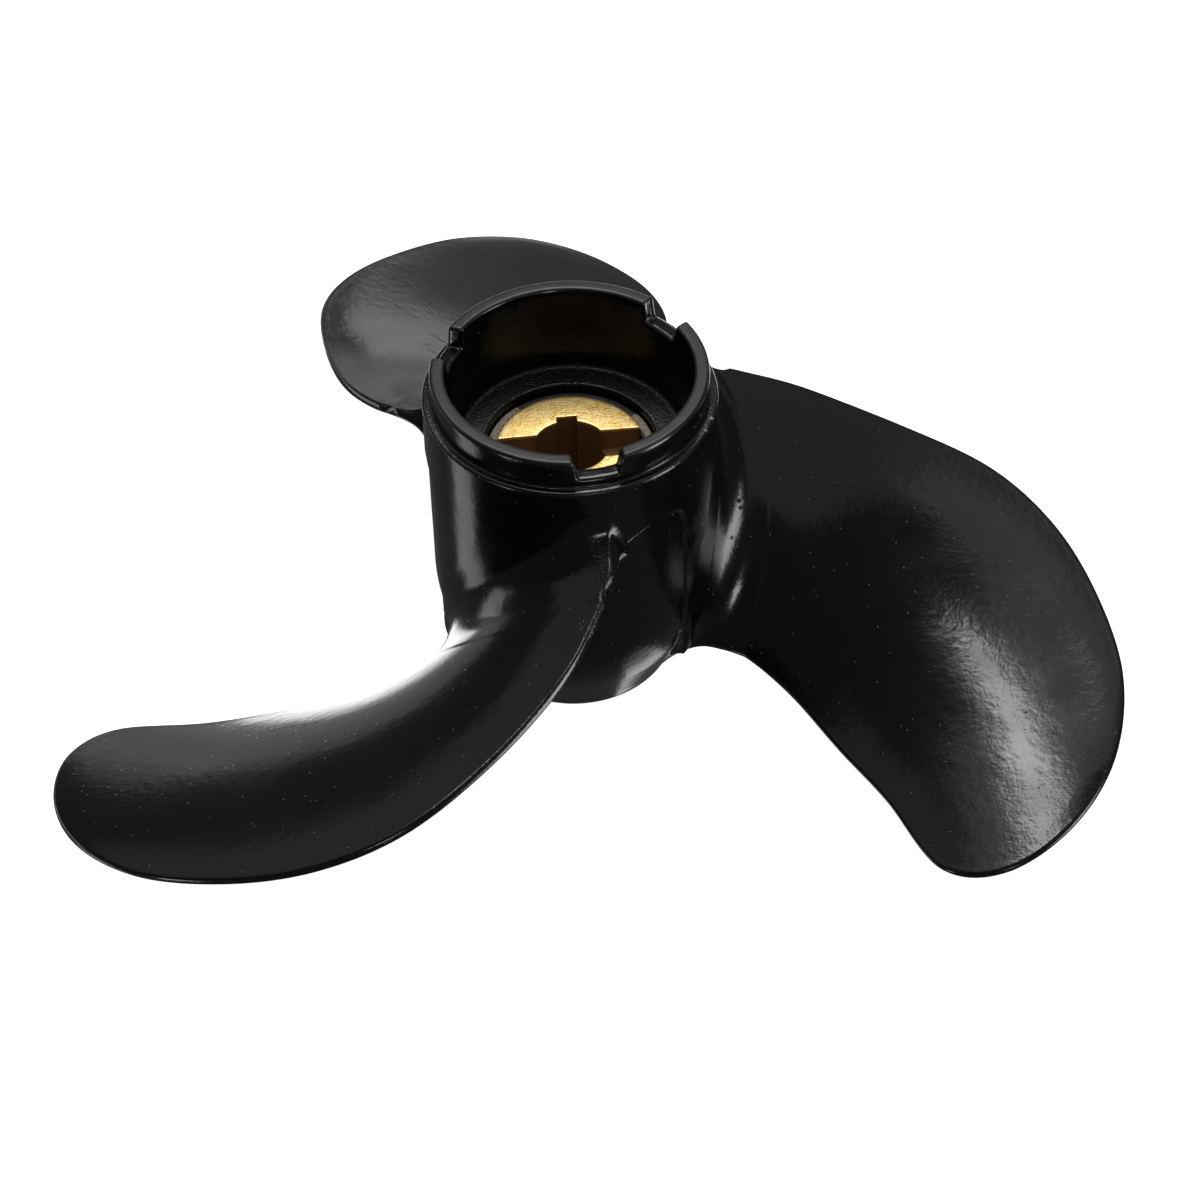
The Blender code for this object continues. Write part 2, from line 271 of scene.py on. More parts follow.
def angle_setting(name, description, degrees):
    """Setting of an angle whose default is given in degrees."""
    return bpy.props.FloatProperty(
        name=name, description=description, default=math.radians(degrees), subtype="ANGLE")


def colour_setting(name, description, code):
    """Setting of a colour whose default is given as an sRGB hex colour."""
    return bpy.props.FloatVectorProperty(
        name=name, description=description, subtype="COLOR", size=3, min=0, max=1,
        default=linear(code))


class PropellerSizes(bpy.types.PropertyGroup):
    """Sizes that a user would change."""

    notch_depth: length_setting(
        "Notch depth", "Depth of the three notches in the cup's rim", NOTCH_DEPTH)
    edge_thickness: length_setting(
        "Blade edge", "Thickness of a blade at its rounded edge", EDGE_THICKNESS)
    upper_fillet: length_setting(
        "Upper root fillet", "Radius where a blade's upper face meets the hub", UPPER_FILLET)
    slot_depth: length_setting(
        "Pin slot depth", "Depth of the drive pin's slot in the bush", SLOT_DEPTH)


class PropellerColours(bpy.types.PropertyGroup):
    """Colours of the finishes."""

    paint: colour_setting("Paint", "Gloss black enamel on the casting", "08080A")
    brass: colour_setting("Brass", "Faced end of the drive bush", "FFD983")
    rubber: colour_setting("Rubber", "Sleeve bonded between the bush and the casting", "1B1A18")


class StageSettings(bpy.types.PropertyGroup):
    """Camera, floor and light."""

    lens: bpy.props.FloatProperty(
        name="Lens", description="Focal length on a 36 mm sensor, in millimetres", default=79.26)
    distance: length_setting(
        "Camera distance", "From the camera to the middle of the cup's rim", 408.8)
    elevation: angle_setting(
        "Camera elevation", "Height angle of the camera seen from the cup's rim", 40.72)
    roll: angle_setting("Camera roll", "Turn of the camera about its own axis", -0.575)
    floor: colour_setting("Floor", "Colour of the plain floor", "FAFAFA")
    room: bpy.props.FloatProperty(
        name="Room", description="Brightness of the dim room round the lamps", default=0.08)


def arc(centre, radius, start, end, steps):
    """Points of an arc, its angles in degrees from the first axis towards the second."""
    angles = np.radians(np.linspace(start, end, steps + 1))
    return np.stack([centre[0] + radius * np.cos(angles), centre[1] + radius * np.sin(angles)], 1)


def smooth_curve(points, places):
    """Read a Catmull-Rom curve through the points at the given places, counted in points."""
    padded = np.vstack([2 * points[0] - points[1], points, 2 * points[-1] - points[-2]])
    cell = np.clip(np.floor(places).astype(int), 0, len(points) - 2)
    t = (places - cell)[..., None]
    p0, p1, p2, p3 = (padded[cell + k] for k in range(4))
    return 0.5 * (
        2 * p1 + (p2 - p0) * t + (2 * p0 - 5 * p1 + 4 * p2 - p3) * t**2
        + (3 * p1 - p0 - 3 * p2 + p3) * t**3
    )


def ease(value):
    """0 below 0, 1 above 1, and 3t squared less 2t cubed between them."""
    t = np.clip(value, 0, 1)
    return t * t * (3 - 2 * t)


def distance_to_line(points, line):
    """Distance of each point to a line of straight pieces, as the least over its pieces."""
    start, way = line[:-1], np.diff(line, axis=0)
    gap = points[..., None, :] - start
    share = np.clip((gap * way).sum(-1) / (way * way).sum(-1), 0, 1)
    return np.linalg.norm(gap - share[..., None] * way, axis=-1).min(-1)


def soften(values, reach):
    """Mean over neighbouring columns of a closed ring, taken three times."""
    for _ in range(3):
        shifted = [np.roll(values, k, axis=-1) for k in range(-reach, reach + 1)]
        values = sum(shifted) / len(shifted)
    return values


def proud_depth(azimuth, height):
    """Signed distance in mm to the parting line on the hub, positive on the proud side.

    The line is a smooth curve on the hub unrolled at its radius. Its sign comes from how
    often a ray straight up from the point crosses it: an even count is the proud side.
    """
    line = np.array(PARTING_LINE)
    line = smooth_curve(line, np.linspace(0, len(line) - 1, 5 * len(line)))
    line[:, 0] *= math.radians(HUB_RADIUS)
    middle = -LAND_AZIMUTH
    x = ((azimuth + middle + ROTATION / 2) % ROTATION - ROTATION / 2 - middle)
    points = np.stack(np.broadcast_arrays(x * math.radians(HUB_RADIUS), height), axis=-1)
    start, end = line[:-1], line[1:]
    px, py = points[..., 0:1], points[..., 1:2]
    within = (start[:, 0] <= px) != (end[:, 0] <= px)
    run = np.where(start[:, 0] == end[:, 0], 1.0, end[:, 0] - start[:, 0])
    level = start[:, 1] + (px - start[:, 0]) / run * (end[:, 1] - start[:, 1])
    crossings = (within & (level > py)).sum(-1)
    return distance_to_line(points, line) * np.where(crossings % 2, -1.0, 1.0)


def hub_radius(azimuth, height, step=1.0):
    """Radius of the hub's side at an azimuth in degrees and a height, with a share of its step.

    Below the parting line it is a straight stretch, a circular barrel and a cone. Above it
    the side is straight and slightly proud, and rounds off later than the nose. An eased
    step of constant width joins the two.
    """
    below = np.clip(-height - HUB_STRAIGHT, 0, NOSE_BARREL * math.sin(math.radians(NOSE_SLOPE)))
    barrel = HUB_RADIUS - NOSE_BARREL + np.sqrt(NOSE_BARREL**2 - below**2)
    cone = np.clip(-height - HUB_STRAIGHT - below, 0, None) * math.tan(math.radians(NOSE_SLOPE))
    low = barrel - cone
    angle = np.radians(azimuth) * 3
    around = HUB_WAVE_CIRCLE * np.cos(angle), HUB_WAVE_CIRCLE * np.sin(angle)
    low = low + SKIN_WAVE * unevenness(np.stack(np.broadcast_arrays(*around, height), -1),
                                       HUB_WAVE_SIZE)
    down = np.clip(-height - LAND_STRAIGHT, 0, LAND_BARREL)
    proud = COLLAR_RADIUS - LAND_BARREL + np.sqrt(LAND_BARREL**2 - down**2)
    share = ease(proud_depth(azimuth, height) / PARTING_STEP_WIDTH + 0.5)
    return low + np.maximum(proud - low, 0) * share * step


def notched_edge(count, azimuth, top, floor, depth, edge, fillet, samples):
    """Columns round a ring whose upper face has evenly spaced notches with parallel sides.

    Half a period runs from a notch's middle: along its floor, up a concave arc, the drafted
    wall and a convex arc, and then along the ring's top to the middle between two notches.
    Returns a function and the columns' even azimuths in radians. The function gives azimuths
    and heights at a radius, moved back by an offset along the outline's normal.
    """
    wall = math.atan2(depth, (top - floor) / 2)
    trim_floor, trim_top = (r * math.tan(wall / 2) for r in (fillet, edge))
    tilt = math.degrees(wall)
    across = np.linspace(0, floor / 2 - trim_floor, samples[0])
    low = np.stack([across, np.full(samples[0], -depth)], 1)
    concave = arc((floor / 2 - trim_floor, fillet - depth), fillet, -90, tilt - 90, samples[1])
    convex = arc((top / 2 + trim_top, -edge), edge, tilt + 90, 90, samples[1])
    side = np.linspace(concave[-1], convex[0], samples[2])
    line = np.vstack([low, concave[1:], side[1:], convex[1:]])
    turn = np.concatenate([
        np.zeros(len(low)), np.radians(np.linspace(0, tilt, len(concave))[1:]),
        np.full(len(side) - 1, wall), np.radians(np.linspace(tilt, 0, len(convex))[1:])])
    normal = np.stack([-np.sin(turn), np.cos(turn)], 1)
    flat = np.linspace(0, 1, samples[3] + 1)[1:]
    half = math.pi / count

    def columns(values, sign):
        """Repeat values of half a period on both sides of every notch, in order of azimuth."""
        mirrored = np.concatenate([sign * values[..., :0:-1], values[..., :-1]], axis=-1)
        return np.concatenate([mirrored] * count, axis=-1)

    centres = np.repeat(math.radians(azimuth) + 2 * half * np.arange(count),
                        2 * (len(line) + len(flat) - 1))

    def at(radius, offset=0.0, inset=0.0):
        """Azimuths and heights of the columns at a radius that may fall by the inset's taper."""
        y = line[:, 0] - offset * normal[:, 0]
        z = line[:, 1] - offset * normal[:, 1]
        radii = radius + inset * z
        angle = np.arcsin(np.clip(y / radii, -1, 1))
        angle = np.concatenate([angle, angle[-1] + (half - angle[-1]) * flat])
        z = np.concatenate([z, np.full(len(flat), z[-1])])
        return columns(angle, -1) + centres, columns(z, 1)

    steps = np.linalg.norm(np.diff(line, axis=0), axis=1)
    reach = np.concatenate([[0], np.cumsum(steps)])
    reach = np.concatenate([reach, reach[-1] + (half * RIM_RADIUS - reach[-1] * 0.6) * flat])
    return at, columns(reach / reach[-1] * half, -1) + centres


def in_space(radius, azimuth, height):
    """Points from their radii, azimuths in radians and heights."""
    return np.stack([radius * np.cos(azimuth), radius * np.sin(azimuth), height], axis=-1)


def ring_points(rows):
    """Stack rows of (radius, azimuth, height), each a number or an array, into one grid."""
    size = max(np.size(value) for row in rows for value in row)
    grid = np.array([[np.broadcast_to(value, size) for value in row] for row in rows])
    return in_space(grid[:, 0], grid[:, 1], grid[:, 2])


def rows_between(first, last, shares):
    """Rows at shares of the way from one row to another."""
    return [tuple(a + (b - a) * share for a, b in zip(first, last)) for share in shares]


def sheet_faces(rows, columns, wrap_rows=False, wrap_columns=True):
    """Corner numbers of the quads between neighbouring points of a grid."""
    row = np.arange(rows if wrap_rows else rows - 1)[:, None]
    column = np.arange(columns if wrap_columns else columns - 1)[None, :]
    below, beside = (row + 1) % rows, (column + 1) % columns
    corners = [row * columns + column, below * columns + column,
               below * columns + beside, row * columns + beside]
    return np.stack(np.broadcast_arrays(*corners), axis=-1).reshape(-1, 4)


def new_piece(name, points, faces, material, node, sharp=None):
    """Make an object of points in mm below the rim, and let it stand for a CAD node."""
    mesh = bpy.data.meshes.new(name)
    place = (points.reshape(-1, 3) + (0, 0, RIM_HEIGHT)) * MM
    mesh.vertices.add(len(place))
    mesh.vertices.foreach_set("co", place.astype(np.float32).ravel())
    sizes = np.array([len(face) for face in faces])
    mesh.loops.add(int(sizes.sum()))
    corners = np.concatenate([np.ravel(face) for face in faces])
    mesh.loops.foreach_set("vertex_index", corners.astype(np.int32))
    mesh.polygons.add(len(faces))
    mesh.polygons.foreach_set("loop_start", (np.cumsum(sizes) - sizes).astype(np.int32))
    mesh.update(calc_edges=True)
    if mesh.validate():
        raise RuntimeError(f"{name} has faces that had to be repaired")
    shape = bmesh.new()
    shape.from_mesh(mesh)
    bmesh.ops.remove_doubles(shape, verts=shape.verts, dist=1e-7)
    bmesh.ops.dissolve_degenerate(shape, edges=shape.edges, dist=1e-8)
    open_edges = sum(1 for edge in shape.edges if len(edge.link_faces) != 2)
    volume = shape.calc_volume(signed=True)
    shape.to_mesh(mesh)
    shape.free()
    if open_edges or volume <= 0:
        raise RuntimeError(f"{name} isn't closed with its faces outwards: {open_edges} {volume}")
    mesh.shade_smooth()
    if sharp:
        mesh.set_sharp_from_angle(angle=math.radians(sharp))
    mesh.materials.append(material)
    piece = bpy.data.objects.new(name, mesh)
    bpy.context.scene.collection.objects.link(piece)
    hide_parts(node)
    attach(piece, "root")


def ring_piece(name, rows, material, node):
    """Make a piece whose rows run round the shaft, the last of them joined to the first."""
    points = ring_points(rows)
    faces = sheet_faces(*points.shape[:2], wrap_rows=True)
    new_piece(name, points, faces, material, node, sharp=SHARP_ANGLE)


def hub_rows(notch_depth):
    """Rows of the hub's section, up its inside, over the rim and down its outside.

    A row in the rim follows the notches' outline. Rows below it change evenly, from top to
    bottom, to even columns. The side takes its radius from hub_radius.
    """
    at, even = notched_edge(3, NOTCH_AZIMUTH, NOTCH_TOP, NOTCH_FLOOR, notch_depth, RIM_ROUND,
                            NOTCH_FILLET, NOTCH_SAMPLES)
    taper = (CUP_MOUTH_RADIUS - CUP_FLOOR_RADIUS) / CUP_DEPTH
    low = -HUB_LENGTH
    inside = [(EXIT_RADIUS, z) for z in (low + 0.4, low + 4, -SEAT_DEPTH - 0.3)]
    inside += [(EXIT_RADIUS + 0.3, -SEAT_DEPTH), (SEAT_RADIUS - 0.3, -SEAT_DEPTH)]
    inside += [(SEAT_RADIUS, z) for z in (-SEAT_DEPTH + 0.3, -40, -28, -20, -17, -CUP_DEPTH - 0.7)]
    lip = (SEAT_RADIUS + SEAT_ROUND, SEAT_LIP - SEAT_ROUND - CUP_DEPTH)
    inside += [tuple(p) for p in arc(lip, SEAT_ROUND, 180, 90, 4)]
    floor_end = CUP_FLOOR_RADIUS - CUP_FILLET
    inside += [(r, -CUP_DEPTH) for r in np.linspace(SEAT_RADIUS + 0.9, floor_end, 10)[:-1]]
    inside += [tuple(p) for p in arc((floor_end, CUP_FILLET - CUP_DEPTH), CUP_FILLET, -90, 0, 5)]
    wall = np.linspace(CUP_FILLET - CUP_DEPTH, -CUP_WALL_TOP, 12)[1:]
    inside += [(CUP_MOUTH_RADIUS + taper * z, z) for z in wall]
    rows = [(r, even, z) for r, z in inside]

    angles = np.radians(np.linspace(0, 90, 5))
    inner = []
    for angle in angles:
        back = RIM_ROUND * (1 - math.cos(angle))
        radius = CUP_MOUTH_RADIUS + RIM_ROUND * (1 - math.sin(angle))
        azimuth, height = at(radius, back)
        inner.append((radius + taper * height, azimuth, height))
    rows += rows_between(rows[-1], inner[-1], QUARTERS)
    rows += inner[::-1]
    top_inner, top_outer = CUP_MOUTH_RADIUS + RIM_ROUND, RIM_RADIUS - RIM_ROUND
    for share in QUARTERS:
        radius = top_inner + (top_outer - top_inner) * share
        azimuth, height = at(radius)
        rows.append((radius + taper * height * (1 - share), azimuth, height))
    for angle in angles:
        radius = RIM_RADIUS - RIM_ROUND * (1 - math.sin(angle))
        azimuth, height = at(radius, RIM_ROUND * (1 - math.cos(angle)))
        rows.append((radius, azimuth, height))
    base = LEDGE_FILLET - RIM_DEPTH
    rows += rows_between(rows[-1], (RIM_RADIUS, even, base), (0.2, 0.4, 0.6, 0.8))
    ledge = arc((RIM_RADIUS + LEDGE_FILLET, base), LEDGE_FILLET, 180, 270, 4)
    edge = arc((COLLAR_RADIUS - LEDGE_ROUND, -RIM_DEPTH - LEDGE_ROUND), LEDGE_ROUND, 90, 0, 4)
    rows += [(r, even, z) for r, z in np.vstack([ledge, edge])]

    heights = np.concatenate([np.linspace(a, b, n, endpoint=False) for a, b, n in HUB_BANDS])
    degrees = np.degrees(even)
    period = len(even) // 3
    side = hub_radius(degrees[None, :period], heights[:, None])
    rows += [(np.tile(radius, 3), even, z) for radius, z in zip(side, heights)]
    corner = arc((NOSE_FLAT_RADIUS, NOSE_CORNER - HUB_LENGTH), NOSE_CORNER, -NOSE_SLOPE, -90, 6)
    rows += [(r, even, z) for r, z in corner]
    rows += [(r, even, low) for r in (12, 10, 8, EXIT_RADIUS + 0.4)]
    rows += [(EXIT_RADIUS + 0.12, even, low + 0.12)]
    return rows


def unevenness(points, size):
    """Slow waves of a casting's skin: a mean of five sines in fixed directions, from -1 to 1."""
    directions = np.array([
        (1, 0.3, 0.2), (-0.4, 1, 0.5), (0.6, -0.7, 1), (-0.8, -0.5, 0.6), (0.2, 0.9, -0.9)])
    phases = np.array([0.3, 1.9, 4.1, 2.6, 5.2])
    return np.sin(points @ directions.T / size * math.tau + phases).mean(axis=-1)


def blade_height(radius, turn):
    """Height of the blade's middle surface: a helicoid of falling pitch with cup and rake.

    The leading edge's root droops from it, by an eased share of the radius times the square
    of a share of the turn.
    """
    reach = (radius - SURFACE_ROOT_RADIUS) / (TIP_RADIUS - SURFACE_ROOT_RADIUS)
    pitch = PITCH_ROOT + (PITCH_TIP - PITCH_ROOT) * reach**2
    share = np.clip((np.degrees(turn) - DROOP_ANGLE) / DROOP_SPREAD, 0, DROOP_FULL)
    droop = ROOT_DROOP * ease((DROOP_RADIUS - radius) / DROOP_FADE) * share**2
    return -BLADE_DEPTH + pitch / math.tau * turn + CUPPING * turn**2 + RAKE * reach - droop


def lay_on_blade(radius, turn, over):
    """Place points at a distance over the middle surface, measured along its normal.

    The way over is taken round the shaft and up, and keeps the radius: turn grows by the
    normal's sideways share over the radius, and height by its upward share.
    """
    height = blade_height(radius, turn)
    step = 0.01
    change = blade_height(radius, turn + step) - blade_height(radius, turn - step)
    rise = change / (2 * step) / radius
    length = np.sqrt(1 + rise**2)
    return turn - over * rise / length / radius, height + over / length


def section_shares(chord, edge):
    """Places along a chord in mm, crowded as a quarter circle's at both ends."""
    quarter = np.linspace(0, math.pi / 2, EDGE_COLUMNS + 1)[:-1]
    end = np.minimum(edge, chord / 3)[:, None]
    ends = end * (1 - np.cos(quarter))
    across = np.linspace(0, 1, CHORD_COLUMNS + 1)
    across = (1 - CROWDING) * across + CROWDING * (1 - np.cos(math.pi * across)) / 2
    middle = end + (chord[:, None] - 2 * end) * across
    return np.concatenate([ends, middle, (chord[:, None] - ends)[:, ::-1]], axis=1)


def edge_half(distance, edge):
    """Half thickness of the blade's rounded edge: a superellipse over its first edge/2 mm."""
    left = 1 - np.clip(distance / (edge / 2), 0, 1)
    return edge / 2 * (1 - left**EDGE_SQUARENESS) ** (1 / EDGE_SQUARENESS)


def both_sides(values):
    """Values from the leading to the trailing edge, and then back along the other side."""
    return np.concatenate([values, values[..., -2:0:-1]], axis=-1)


def blade_points(edge, upper_fillet):
    """Rings of points round the blade in its own turn, from inside the hub to its tip.

    Each ring lies over and under a chord from the leading to the trailing edge. The blade is
    as thick as its rounded edge plus a parabola, mostly on the upper side. Near the hub the
    rings open into the root's fillets.
    """
    table = np.array(STATIONS)
    last = len(table) - 1
    outline = np.vstack([table[:, 0:2], table[-2::-1, 2:4]])

    def edge_at(places):
        """Radius and angle of the outline at places counted in stations."""
        points = smooth_curve(outline, places)
        return np.hypot(points[:, 0], points[:, 1]), np.arctan2(points[:, 1], points[:, 0])

    def spread(radius, turn):
        """Points of the middle surface in space."""
        return in_space(radius, turn, blade_height(radius, turn))

    tip = last - TIP_STATIONS * np.sin(np.linspace(math.pi / 2, 0, TIP_ROWS))
    rows = np.linspace(FREE_STATION, tip[0], FREE_ROWS, endpoint=False)
    rows = np.concatenate([rows, tip[:-1], [last - 0.001]])

    def across(share):
        """Radius and turn at shares of the way from the leading to the trailing edge."""
        edges = zip(edge_at(rows), edge_at(2 * last - rows))
        return [lead[:, None] + (trail - lead)[:, None] * share for lead, trail in edges]

    spine = spread(*across(np.linspace(0, 1, SPINE_POINTS)))
    chord = np.linalg.norm(np.diff(spine, axis=1), axis=-1).sum(axis=1)
    along = section_shares(chord, edge / 2)
    share = along / chord[:, None]
    radius, turn = across(share)
    middle = spread(radius, turn)
    rim = spread(*edge_at(np.linspace(0, 2 * last, OUTLINE_POINTS)))
    distance = np.stack([distance_to_line(row, rim) for row in middle])

    thickest = smooth_curve(table[:, 4:5], rows)[:, :1]
    swell = np.clip(thickest - edge, 0, None) * 4 * share * (1 - share)
    swell = swell * (1 - np.exp(-distance / EDGE_FADE))
    half = edge_half(distance, edge)
    inland = ease(distance / WAVE_FADE) * ease(rows - FREE_STATION)[:, None]
    wave = SKIN_WAVE * inland * unevenness(middle, BLADE_WAVE_SIZE)
    upper, lower = half + swell * UPPER_SHARE + wave, half + swell * (1 - UPPER_SHARE) - wave
    over = np.concatenate([upper, -lower[:, -2:0:-1]], axis=1)
    radius, turn, along = both_sides(radius), both_sides(turn), both_sides(along)
    root = blade_root(edge, upper_fillet, edge_at, chord[0], along[0], radius[0], turn[0])
    return np.concatenate([root, np.stack([radius, *lay_on_blade(radius, turn, over)], axis=-1)])


def blade_root(edge, upper_fillet, edge_at, chord, along, top_radius, top_turn):
    """Rings of the blade's root, from under the hub's skin up to its first free ring.

    Each ring opens along its outward direction. Round the leading edge it follows a small
    quarter circle along the chord and the side's larger one across it, so its line on the
    hub is a quarter ellipse. Round the trailing edge both are the same circle.
    """
    places = np.linspace(0, 3, ROOT_POINTS)
    (lead_r, lead_t), (trail_r, trail_t) = edge_at(places), edge_at(2 * len(STATIONS) - 2 - places)
    thickest = smooth_curve(np.array(STATIONS)[:, 4:5], places)[:, 0]
    share = along / chord
    side = np.where(np.arange(len(along)) <= len(along) // 2, 1.0, -1.0)
    near_edge = np.minimum(along, chord - along)
    half = edge_half(near_edge, edge) * side

    def flat_ring(radius):
        """The ring's distances over the middle surface where the blade has this radius."""
        thick = np.interp(radius, lead_r, thickest)
        swell = np.clip(thick - edge, 0, None) * 4 * share * (1 - share)
        swell = swell * (1 - np.exp(-near_edge / EDGE_FADE))
        return half + swell * np.where(side > 0, UPPER_SHARE, UPPER_SHARE - 1)

    over = flat_ring(np.full(len(along), HUB_RADIUS + 3))
    step_along = np.roll(along, -1) - np.roll(along, 1)
    step_over = np.roll(over, -1) - np.roll(over, 1)
    size = np.hypot(step_along, step_over)
    out = soften(np.stack([-step_over / size, step_along / size]), 7)
    out = out / np.hypot(*out)
    leading = along < chord / 2
    sides = np.where(out[1] > 0, upper_fillet, LOWER_FILLET)
    trail = TRAIL_FILLET + (sides - TRAIL_FILLET) * ease(near_edge / FILLET_GROWTH)
    fillet = np.stack([np.where(leading, LEAD_FILLET, trail), np.where(leading, sides, trail)])
    steps = [(-sink, out * (fillet + extra)) for extra, sink in reversed(SKIRT)]
    for angle in np.radians(np.linspace(90, 0, FILLET_ROWS)):
        up = upper_fillet * (1 - math.sin(angle))
        left = np.clip(fillet - up, 0, None)
        steps.append((up, out * (fillet - np.sqrt(fillet**2 - left**2))))

    def place(level, flare, weight):
        """Radius, turn and height of points at a level over the hub, opened by a flare."""
        radius = np.full(len(along), HUB_RADIUS + level)
        proud = 1 - ease((level - STEP_CLIMB[0]) / (STEP_CLIMB[1] - STEP_CLIMB[0]))
        for _ in range(3):
            where = (along + flare[0]) / chord
            height_over = flat_ring(radius) + flare[1]
            first, second = np.interp(radius, lead_r, lead_t), np.interp(radius, trail_r, trail_t)
            turn = first + (second - first) * where
            turn = turn + (top_turn - turn) * weight
            turned, height = lay_on_blade(radius, turn, height_over)
            on_hub = hub_radius(np.degrees(turned) + BLADE_AZIMUTH, height, proud) + level
            radius = on_hub + (top_radius - on_hub) * weight
        return np.stack([radius, turned, height], axis=-1)

    rows = [place(level, flare, 0.0) for level, flare in steps]
    for step in range(1, ARC_ROWS):
        rows.append(place(upper_fillet, np.zeros_like(fillet), step / ARC_ROWS))
    return np.stack(rows)


def bush_rows(slot_depth):
    """Rows of the bush's section, up its bore, across the slotted face and down its side.

    The bore's outline is a circle with a keyway of parallel sides between the slot's ends.
    Points across the face move evenly from that outline to the outer circle.
    """
    at, even = notched_edge(2, SLOT_AZIMUTH, SLOT_WIDTH, SLOT_WIDTH, slot_depth, BUSH_EDGE,
                            SLOT_FILLET, SLOT_SAMPLES)
    half = len(even) // 4
    far = SLOT_SAMPLES[3]
    centre = math.radians(SLOT_AZIMUTH + 90)
    reach = math.asin(KEYWAY_WIDTH / 2 / BORE_RADIUS)

    def bore(azimuth):
        """The bore's radii and azimuths: the columns next to the keyway follow its outline."""
        azimuth = azimuth.copy()
        radius = np.full(len(azimuth), BORE_RADIUS)
        columns = np.arange(2 * half - far, 2 * half + far + 1)
        first = azimuth[columns[0]] - centre
        side = 8
        wall = np.linspace(BORE_RADIUS * math.cos(reach), KEYWAY_REACH, side)
        floor = np.linspace(-KEYWAY_WIDTH / 2, 0, 7)[1:]
        ring = np.linspace(first, -reach, far + 2 - side - len(floor))[:-1]
        x = np.concatenate([BORE_RADIUS * np.cos(ring), wall, np.full(len(floor), KEYWAY_REACH)])
        y = np.concatenate([BORE_RADIUS * np.sin(ring), np.full(side, -KEYWAY_WIDTH / 2), floor])
        x, y = np.concatenate([x, x[-2::-1]]), np.concatenate([y, -y[-2::-1]])
        radius[columns] = np.hypot(x, y)
        azimuth[columns] = centre + np.arctan2(y, x)
        return radius, azimuth

    keyed = bore(even)
    rows = [(*keyed, z) for z in (-BUSH_END, -44, -36, -28, -BUSH_EVEN_DEPTH)]
    angles = np.radians(np.linspace(0, 90, 4))
    inner = []
    for angle in angles[::-1]:
        azimuth, height = at(BORE_RADIUS, BUSH_EDGE * (1 - math.cos(angle)))
        radius, azimuth = bore(azimuth)
        inner.append((radius + BUSH_EDGE * (1 - math.sin(angle)), azimuth, height - BRASS_DEPTH))
    rows += rows_between(rows[-1], inner[0], QUARTERS) + inner
    keyed_radius, keyed_azimuth, _ = inner[-1]
    keyed_shift = keyed_azimuth - at(BORE_RADIUS)[0]
    outer = BRASS_RADIUS - BUSH_EDGE
    for share in np.linspace(0, 1, 14)[1:-1]:
        azimuth, height = at(BORE_RADIUS + (outer - BORE_RADIUS) * share)
        rows.append((keyed_radius + (outer - keyed_radius) * share,
                     azimuth + keyed_shift * (1 - share), height - BRASS_DEPTH))
    for angle in angles:
        radius = BRASS_RADIUS - BUSH_EDGE * (1 - math.sin(angle))
        azimuth, height = at(radius, BUSH_EDGE * (1 - math.cos(angle)))
        rows.append((radius, azimuth, height - BRASS_DEPTH))
    rows += rows_between(rows[-1], (BRASS_RADIUS, even, -BUSH_EVEN_DEPTH), (0.3, 0.6, 1.0))
    rows += [(BRASS_RADIUS, even, z) for z in (-32, -42, 0.2 - BUSH_END)]
    rows += [(BRASS_RADIUS - 0.2, even, -BUSH_END), (9.0, even, -BUSH_END)]
    return rows


def rubber_rows():
    """Rows of the rubber sleeve's section: a closed ring whose top is a low rounded bead."""
    azimuth = np.linspace(0, math.tau, RUBBER_COLUMNS, endpoint=False)
    middle = (RUBBER_INNER + RUBBER_OUTER) / 2
    reach = (RUBBER_OUTER - RUBBER_INNER) / 2
    bead = np.radians(np.linspace(180, 0, 13))
    rows = [(RUBBER_INNER, azimuth, z) for z in (-BUSH_END, -40, -28, -18)]
    rows += [(middle + reach * math.cos(angle), azimuth,
              -RUBBER_DEPTH - RUBBER_BEAD * (1 - math.sin(angle))) for angle in bead]
    return rows + [(RUBBER_OUTER, azimuth, z) for z in (-18, -28, -40, -BUSH_END)]


def feed(tree, node, inputs):
    """Give each named input of a node a value or another node's output."""
    for key, value in inputs.items():
        if isinstance(value, bpy.types.NodeSocket):
            tree.links.new(value, node.inputs[key])
        else:
            node.inputs[key].default_value = value


def add_node(tree, kind, inputs=None, **settings):
    """Add a shader node with its settings and inputs."""
    node = tree.nodes.new("ShaderNode" + kind)
    for key, value in settings.items():
        setattr(node, key, value)
    feed(tree, node, inputs or {})
    return node


def maths(tree, operation, *values):
    """Result of a calculation on numbers and other nodes' outputs."""
    return add_node(tree, "Math", dict(enumerate(values)), operation=operation).outputs[0]


def add_up(tree, terms, total=0.0):
    """Sum of values, each times its weight."""
    for weight, value in terms:
        total = maths(tree, "MULTIPLY_ADD", value, weight, total)
    return total


def sized(tree, place, size, axes=None):
    """Coordinates that count patterns of a size in mm, along axes of their own where given."""
    turn = (0, 0, 0)
    if axes:
        first, second = (Vector(axis).normalized() for axis in axes)
        turn = Matrix((first, second, first.cross(second))).transposed().to_euler()
    sizes = [value * MM for value in (size if isinstance(size, tuple) else (size,) * 3)]
    return add_node(tree, "Mapping", {"Vector": place, "Rotation": turn, "Scale": sizes},
                    vector_type="TEXTURE").outputs["Vector"]


def grain(tree, place, size, detail=2.0, axes=None):
    """Noise from -1 to 1 whose waves have a size in mm."""
    noise = add_node(tree, "TexNoise", {"Vector": sized(tree, place, size, axes), "Scale": 1.0,
                                        "Detail": detail})
    return maths(tree, "MULTIPLY_ADD", noise.outputs[0], 2.0, -1.0)


def between(tree, value, start, end):
    """0 where a value is at the start or before, 1 at the end or past it, eased between."""
    return add_node(tree, "MapRange", {"Value": value, "From Min": start, "From Max": end},
                    interpolation_type="SMOOTHSTEP").outputs["Result"]


